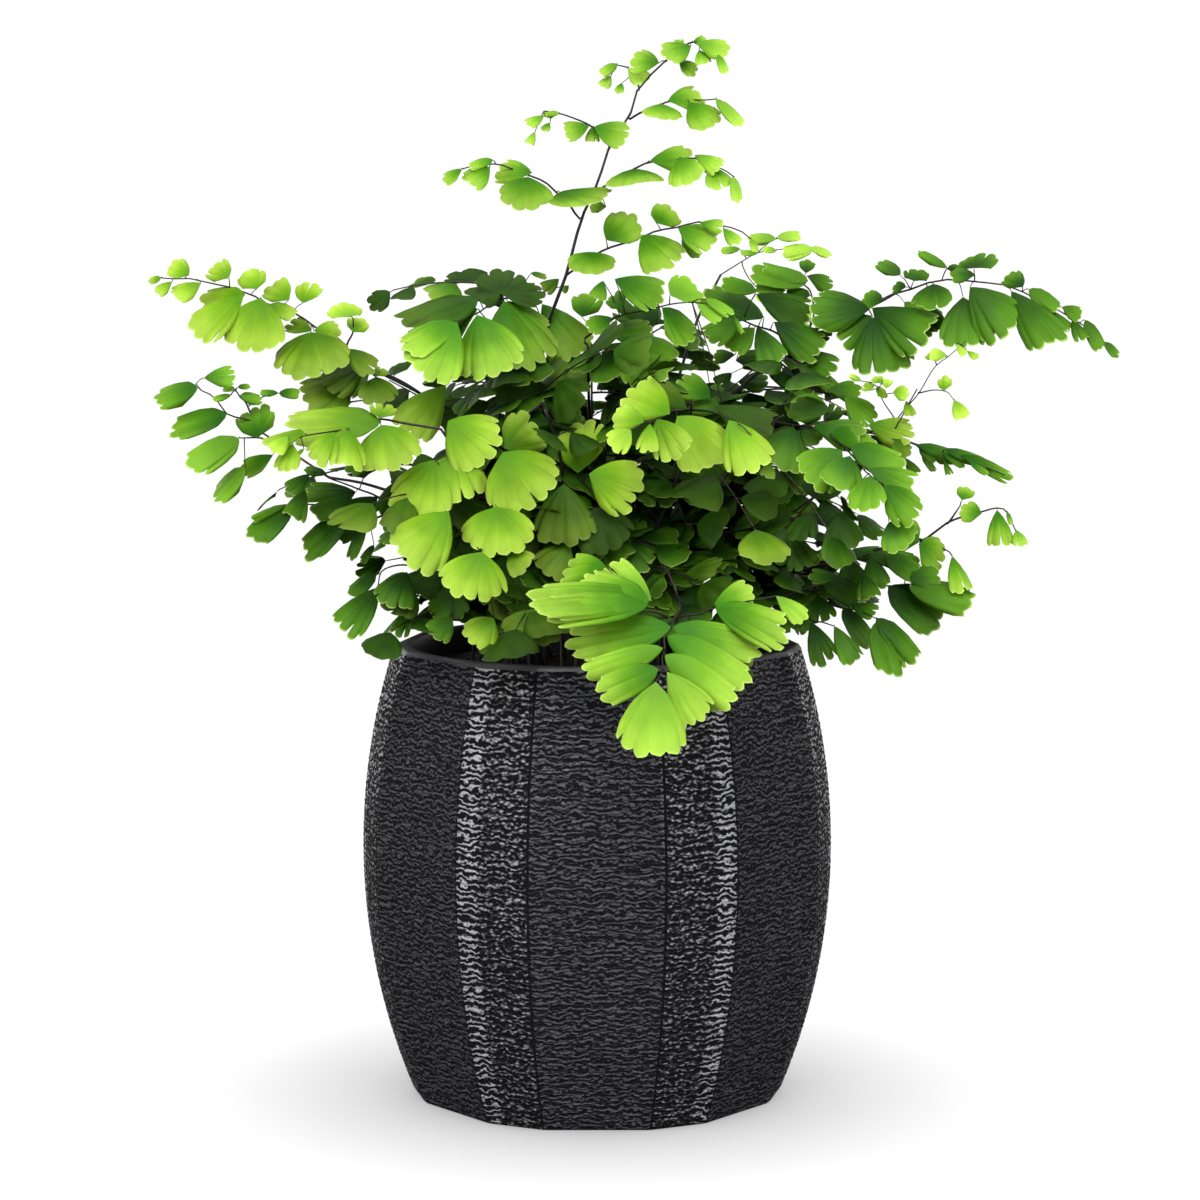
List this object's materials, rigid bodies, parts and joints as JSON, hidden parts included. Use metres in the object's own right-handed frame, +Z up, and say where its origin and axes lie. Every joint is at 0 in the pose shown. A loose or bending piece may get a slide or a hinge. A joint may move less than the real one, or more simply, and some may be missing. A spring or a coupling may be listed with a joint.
{
  "type": "potted fern",
  "caption": "Maidenhair fern with fan-shaped leaflets on wiry black stems, growing in a faceted, leather-textured charcoal barrel pot.",
  "frame": {"origin": "centre of the pot's flat underside, where it stands", "axes": "+Z up the plant, -Y to the front, where the drooping frond hangs over the rim, +X to the right seen from the front"},
  "size_m": [0.3004, 0.2553, 0.3366],
  "materials": {
    "pot": "charcoal, satin sheen over a fine wrinkled relief, smooth flat rim",
    "soil": "dark damp potting soil of peat and bark crumbs",
    "leaf_lime": "young lime green leaflets with pale translucent edges, black stems",
    "leaf_fresh": "fresh green leaflets, black stems",
    "leaf_mid": "mid green leaflets, black stems",
    "leaf_deep": "deep green shaded leaflets, black stems"
  },
  "bodies": {
    "root": {"pot": "pot", "soil": "soil", "tall": "leaf_fresh", "leftArch": "leaf_lime", "crownLeft": "leaf_fresh", "leftMid": "leaf_mid", "leftLow": "leaf_deep", "paleLeft": "leaf_lime", "fans": "leaf_lime", "brightRight": "leaf_lime", "frontDrop": "leaf_fresh", "rightCentre": "leaf_mid", "rightArch": "leaf_deep", "midCentre": "leaf_mid", "shoots": "leaf_lime", "lowShoots": "leaf_fresh", "narrow": "leaf_mid", "rightLow": "leaf_deep", "backPale": "leaf_fresh", "inner_1": "leaf_deep", "inner_2": "leaf_deep", "inner_3": "leaf_deep", "inner_4": "leaf_deep", "inner_5": "leaf_deep", "inner_6": "leaf_deep", "inner_7": "leaf_deep"}
  },
  "joints": []
}
